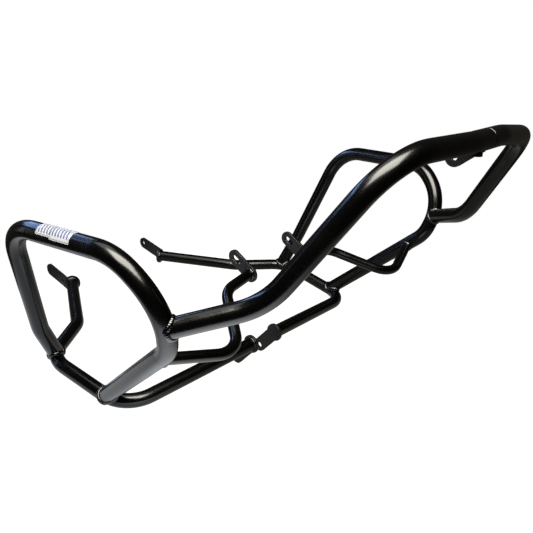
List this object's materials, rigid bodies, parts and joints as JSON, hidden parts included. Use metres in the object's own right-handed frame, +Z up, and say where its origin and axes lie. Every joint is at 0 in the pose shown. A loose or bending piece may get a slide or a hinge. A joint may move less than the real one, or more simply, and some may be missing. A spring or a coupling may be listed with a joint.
{
  "type": "motorcycle crash bars",
  "caption": "Mirrored welded frames of bent steel tube that guard a motorcycle's sides and meet in a front hoop, with flat bolt-on plates.",
  "frame": {"origin": "on the axis of the lower front bolt, midway between the two frames", "axes": "+X towards the rider's left along the bolt, -Y towards the front of the motorcycle, +Z up with the top runs of the side loops level"},
  "size_m": [0.8142, 0.9571, 0.4833],
  "materials": {
    "coated_tube": "satin black powder coat",
    "coated_plate": "satin black powder coat with a fine texture",
    "weld_bead": "rippled weld under black powder coat",
    "bare_spigot": "black powder coat",
    "black_screw": "black oxide",
    "label": "white vinyl, blank"
  },
  "bodies": {
    "root": {"right_side_loop": "coated_tube", "left_side_loop": "coated_tube", "right_lower_rail": "coated_tube", "left_lower_rail": "coated_tube", "right_brace": "coated_tube", "left_brace": "coated_tube", "right_hoop_half": "coated_tube", "left_hoop_half": "coated_tube", "right_nose_plate": "coated_plate", "left_nose_plate": "coated_plate", "right_brace_plate": "coated_plate", "left_brace_plate": "coated_plate", "right_rear_plate": "coated_plate", "left_rear_plate": "coated_plate", "right_tube_welds": "weld_bead", "left_tube_welds": "weld_bead", "right_plate_welds": "weld_bead", "left_plate_welds": "weld_bead", "hoop_spigot": "bare_spigot", "joint_screw": "black_screw", "hoop_bracket": "coated_plate", "hoop_bracket_weld": "weld_bead", "label": "label"}
  },
  "joints": []
}
